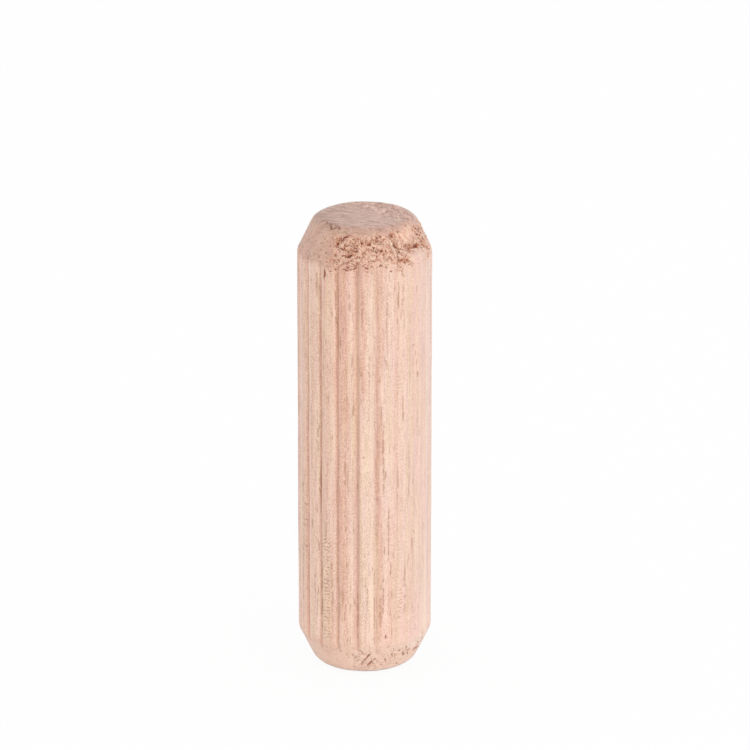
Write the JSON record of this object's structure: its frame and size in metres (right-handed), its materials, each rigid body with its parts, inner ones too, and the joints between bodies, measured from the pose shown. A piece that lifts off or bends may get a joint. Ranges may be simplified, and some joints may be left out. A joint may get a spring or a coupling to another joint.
{
  "type": "dowel pin",
  "caption": "Fluted wooden dowel pin with a chamfer at each end, glued into matching drilled holes to line up and join two boards.",
  "frame": {"origin": "middle of the lower end face, which the pin stands on", "axes": "+Z along the pin from the lower end to the upper end; -Y is the side seen from the front"},
  "size_m": [0.01, 0.01, 0.035],
  "materials": {
    "bare_wood": "matte"
  },
  "bodies": {
    "root": {"dowel": "bare_wood"}
  },
  "joints": []
}
